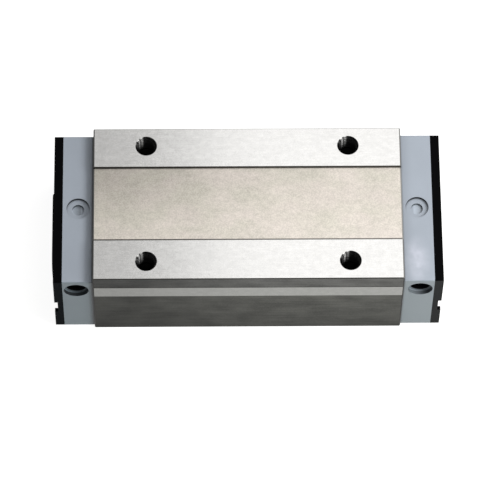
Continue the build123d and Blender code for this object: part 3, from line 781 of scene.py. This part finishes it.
def thread_ridge(form, wall):
    """One helical ridge about the Z axis: a trapezium, screwed up, closed and run out at both ends."""
    deselect()
    height = form.pitch - form.root
    top_turn = block_high.z - form.mouth - height / 2
    bottom_turn = top_turn - form.turns * form.pitch
    middle = wall + (form.sink - form.depth) / 2
    bpy.ops.mesh.primitive_plane_add(size=1, location=(middle, 0, bottom_turn), rotation=(pi / 2, 0, 0))
    ridge = bpy.context.object
    ridge.scale = (form.depth + form.sink, height, 1)
    bpy.ops.object.transform_apply(location=True, rotation=True, scale=True)
    bpy.ops.object.mode_set(mode="EDIT")
    bpy.ops.mesh.select_mode(type="VERT")
    choose(ridge, lambda at: at.x < middle)
    bpy.ops.transform.resize(
        value=(1, 1, form.crest / height), center_override=(wall - form.depth, 0, bottom_turn)
    )
    bpy.ops.mesh.select_all(action="SELECT")
    bpy.ops.mesh.delete(type="ONLY_FACE")
    bpy.ops.object.mode_set(mode="OBJECT")
    screw = ridge.modifiers.new("screw", "SCREW")
    screw.axis = "Z"
    screw.angle = 2 * pi
    screw.screw_offset = form.pitch
    screw.iterations = form.turns
    screw.steps = form.steps
    screw.render_steps = form.steps
    bpy.ops.object.modifier_apply(modifier="screw")
    bpy.ops.object.mode_set(mode="EDIT")
    bpy.ops.mesh.select_all(action="DESELECT")
    bpy.ops.mesh.select_non_manifold()
    bpy.ops.mesh.fill_holes(sides=4)
    crest_radius = wall - form.depth / 2

    def on_end(at, turn):
        return abs(at.y) < TOUCH and 0 < at.x < crest_radius and abs(at.z - turn) < height / 2

    for turn in (bottom_turn, top_turn):
        choose(ridge, lambda at: on_end(at, turn))
        bpy.ops.transform.translate(value=(form.depth, 0, 0))
    bpy.ops.mesh.select_all(action="SELECT")
    bpy.ops.mesh.normals_make_consistent(inside=False)
    bpy.ops.object.mode_set(mode="OBJECT")
    bpy.ops.object.shade_smooth_by_angle(angle=radians(30))
    return ridge


def lower_legs(piece, form):
    """Move the top of a seal's thin legs and the notches beside them down to where the photo has them."""
    deselect()
    piece.select_set(True)
    bpy.context.view_layer.objects.active = piece
    bpy.ops.object.mode_set(mode="EDIT")
    bpy.ops.mesh.select_mode(type="VERT")
    bpy.ops.mesh.select_all(action="SELECT")
    bpy.ops.mesh.remove_doubles(threshold=TOUCH)
    bpy.ops.mesh.dissolve_limited(angle_limit=radians(0.2))
    thin_face = seal_high.x - form.lip_height - form.leg_depth
    top = seal_high.z - form.leg_top_drop
    heights = (top, top - form.notch_height)

    def on_leg(at):
        outside = abs(at.x) > thin_face - HAIR and abs(at.y) > form.leg_inner - HAIR
        return outside and min(abs(at.z - height) for height in heights) < HAIR

    choose(piece, on_leg)
    bpy.ops.transform.translate(value=(0, 0, -1 * form.lowered))
    bpy.ops.object.mode_set(mode="OBJECT")


class BEARING_OT_threads(Operator):
    """Model the thread of each tapped hole in the pads"""

    bl_idname = "bearing.threads"
    bl_label = "Threads"

    def execute(self, context):
        scene = context.scene
        first = thread_ridge(scene.bearing_thread, hole_radius)
        finish = thread_finish(scene.bearing_steel, scene.bearing_thread, scene.bearing_streaks)
        first.data.materials.append(finish.material)
        corners = [(side, end) for side in ("front", "rear") for end in ("left", "right")]
        for number, (side, end) in enumerate(corners):
            thread = first
            if number:
                thread = first.copy()
                thread.data = first.data.copy()
                context.collection.objects.link(thread)
            thread.name = f"bolt_thread_{side}_{end}"
        for side, end in corners:
            thread = bpy.data.objects[f"bolt_thread_{side}_{end}"]
            along = hole_along if end == "right" else -hole_along
            across = hole_across if side == "rear" else -hole_across
            thread.location = (along, across, 0)
            thread.rotation_euler = (0, 0, scene.bearing_thread.start)
            deselect()
            thread.select_set(True)
            context.view_layer.objects.active = thread
            bpy.ops.object.transform_apply(location=True, rotation=True, scale=False)
            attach(thread, "root")
        return {"FINISHED"}


class BEARING_OT_steel_block(Operator):
    """Give the steel block its ground, matte and dark faces"""

    bl_idname = "bearing.steel_block"
    bl_label = "Steel block"

    def execute(self, context):
        scene = context.scene
        values = (scene.bearing_faces, scene.bearing_steel, scene.bearing_grading, scene.bearing_streaks)
        dress(steel_finish(*values), "carriage_body")
        return {"FINISHED"}


class BEARING_OT_end_caps(Operator):
    """Give the end caps their moulded plastic"""

    bl_idname = "bearing.end_caps"
    bl_label = "End caps"

    def execute(self, context):
        scene = context.scene
        dress(cap_finish(scene.bearing_moulded, scene.bearing_ports, scene.bearing_shade), "end_cap")
        return {"FINISHED"}


class BEARING_OT_seals(Operator):
    """Give the seals their rubber and lower the notches of the end seals"""

    bl_idname = "bearing.seals"
    bl_label = "Seals"

    def execute(self, context):
        dress(rubber_finish(context.scene.bearing_moulded), "end_seal", "bottom_seal")
        for end in ("left", "right"):
            original = frame["nodes"][f"end_seal_{end}"]
            seal = original.copy()
            seal.data = original.data.copy()
            seal.name = f"notched_seal_{end}"
            context.collection.objects.link(seal)
            lower_legs(seal, context.scene.bearing_seals)
            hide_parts(f"end_seal_{end}")
            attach(seal, "root")
        return {"FINISHED"}


class BEARING_OT_ball_tracks(Operator):
    """Give the balls, tubes, guides and retainers their finishes"""

    bl_idname = "bearing.ball_tracks"
    bl_label = "Ball tracks"

    def execute(self, context):
        moulded = context.scene.bearing_moulded
        balls = metal_finish("ball_steel", context.scene.bearing_hardware.ball, 0.08, 1.0, 0.03)
        dress(balls, "ball_circuit")
        dress(moulded_finish("tube_plastic", moulded.tube, moulded.pore_size, 0.4), "return_tube")
        dress(moulded_finish("guide_plastic", moulded.guide, moulded.pore_size, 0.38), "return_guide")
        retainer = moulded_finish("retainer_plastic", moulded.retainer, moulded.pore_size, 0.4)
        dress(retainer, "upper_retainer", "side_retainer", "lower_retainer")
        return {"FINISHED"}


class BEARING_OT_hardware(Operator):
    """Give the seal cores, cap screws and grease plugs their finishes"""

    bl_idname = "bearing.hardware"
    bl_label = "Hardware"

    def execute(self, context):
        hardware = context.scene.bearing_hardware
        dress(metal_finish("core_steel", hardware.core, 0.4, 1.0, 0.1), "seal_core")
        dress(metal_finish("screw_steel", hardware.screw, 0.32, 0.6, 0.2), "cap_screws", "grease_plug")
        return {"FINISHED"}


def camera_axes(studio):
    """The camera's right, up and back directions from its heading, dip and roll."""
    heading, dip, roll = studio.camera_heading, studio.camera_dip, studio.camera_roll
    forward = Vector((sin(heading) * cos(dip), cos(heading) * cos(dip), -sin(dip)))
    level = Vector((cos(heading), -sin(heading), 0))
    above = level.cross(forward)
    right = cos(roll) * level + sin(roll) * above
    up = cos(roll) * above - sin(roll) * level
    return right, up, -forward


def add_lamp(name, at, size, watts, target):
    """Add a square lamp that faces a point and is itself out of sight."""
    facing = (Vector(target) - Vector(at)).to_track_quat("-Z", "Y").to_euler()
    bpy.ops.object.light_add(type="AREA", location=at, rotation=facing)
    lamp = bpy.context.object
    lamp.name = name
    lamp.data.shape = "SQUARE"
    lamp.data.size = size
    lamp.data.energy = watts
    lamp.visible_camera = False


def seen_directly(graph):
    """1 for what the camera sees, straight on, in a mirror or through glass, and 0 for other light."""
    rays = graph.node("ShaderNodeLightPath").socket.node.outputs
    direct = Value(graph, rays["Is Camera Ray"])
    mirrored = Value(graph, rays["Is Glossy Ray"])
    through = Value(graph, rays["Is Transmission Ray"])
    return graph.node("ShaderNodeClamp", inputs={0: direct + mirrored + through})


class BEARING_OT_studio(Operator):
    """Set up the camera, the lamps, the sky and the floor"""

    bl_idname = "bearing.studio"
    bl_label = "Studio"

    def execute(self, context):
        studio = context.scene.bearing_studio
        deselect()
        bpy.ops.object.camera_add()
        camera = context.object
        axes = Matrix(camera_axes(studio)).transposed().to_4x4()
        camera.matrix_world = Matrix.Translation(studio.camera_place) @ axes
        camera.data.sensor_width = 36
        camera.data.lens = studio.camera_lens
        camera.data.clip_start = 0.01
        context.scene.camera = camera
        middle = (0, 0, block_high.z / 2)
        below = Vector(studio.softbox_place) - Vector((0, 0, studio.softbox_place[2]))
        add_lamp("softbox", studio.softbox_place, studio.softbox_size, studio.softbox_power, below)
        add_lamp("key_lamp", studio.key_place, studio.key_size, studio.key_power, middle)
        add_lamp("fill_lamp", studio.fill_place, studio.fill_size, studio.fill_power, middle)

        world = bpy.data.worlds.new("studio_sky")
        world.use_nodes = True
        context.scene.world = world
        sky = Graph(world.node_tree)
        bright = studio.sky + (1 - studio.sky) * seen_directly(sky)
        sky.feed(world.node_tree.nodes["Background"].inputs["Strength"], bright)
        world.node_tree.nodes["Background"].inputs["Color"].default_value = (1, 1, 1, 1)

        bpy.ops.mesh.primitive_plane_add(size=studio.floor_size)
        floor = context.object
        floor.name = "floor"
        finish = Finish("floor_paint", Roughness=0.9, Specular_IOR_Level=0.0, Emission_Strength=1.0)
        finish.paint(studio.floor_tone)
        distance = finish.node("ShaderNodeVectorMath", {"operation": "LENGTH"}, {0: finish.place}, 1)
        far = finish.rise(distance, studio.floor_near, studio.floor_far)
        glow = (far * (1 - studio.floor_glow) + studio.floor_glow) * seen_directly(finish)
        finish.feed(finish.shader.inputs["Emission Color"], finish.mix(glow, (0, 0, 0, 1), (1, 1, 1, 1)))
        floor.data.materials.append(finish.material)
        context.scene.view_settings.view_transform = "Standard"
        return {"FINISHED"}


class BEARING_PT_panel(Panel):
    """Lists the steps of the finish and the values that they use"""

    bl_idname = "BEARING_PT_panel"
    bl_label = "Bearing block"
    bl_space_type = "VIEW_3D"
    bl_region_type = "UI"
    bl_category = "Bearing block"

    def draw(self, context):
        for step in steps:
            self.layout.operator(step.bl_idname)
        for name, group in groups.items():
            box = self.layout.box()
            for value in group.__annotations__:
                box.prop(getattr(context.scene, name), value)


steps = (
    BEARING_OT_steel_block,
    BEARING_OT_threads,
    BEARING_OT_end_caps,
    BEARING_OT_seals,
    BEARING_OT_ball_tracks,
    BEARING_OT_hardware,
    BEARING_OT_studio,
)
groups = {
    "bearing_faces": BlockFaces,
    "bearing_steel": SteelFinish,
    "bearing_grading": SteelPaintedShading,
    "bearing_streaks": PaintedGlintForm,
    "bearing_moulded": MouldedFinish,
    "bearing_ports": PortForm,
    "bearing_shade": CapShade,
    "bearing_seals": SealForm,
    "bearing_hardware": HardwareFinish,
    "bearing_thread": ThreadForm,
    "bearing_studio": Studio,
}


def register():
    """Register the value groups, the steps and the panel."""
    for name, group in groups.items():
        bpy.utils.register_class(group)
        setattr(bpy.types.Scene, name, PointerProperty(type=group))
    for step in steps:
        bpy.utils.register_class(step)
    bpy.utils.register_class(BEARING_PT_panel)


def unregister():
    """Take back what register added."""
    bpy.utils.unregister_class(BEARING_PT_panel)
    for step in reversed(steps):
        bpy.utils.unregister_class(step)
    for name, group in groups.items():
        delattr(bpy.types.Scene, name)
        bpy.utils.unregister_class(group)


def main():
    """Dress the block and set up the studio."""
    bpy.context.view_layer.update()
    register()
    bpy.ops.bearing.steel_block()
    bpy.ops.bearing.threads()
    bpy.ops.bearing.end_caps()
    bpy.ops.bearing.seals()
    bpy.ops.bearing.ball_tracks()
    bpy.ops.bearing.hardware()
    bpy.ops.bearing.studio()


if __name__ == "__main__":
    main()
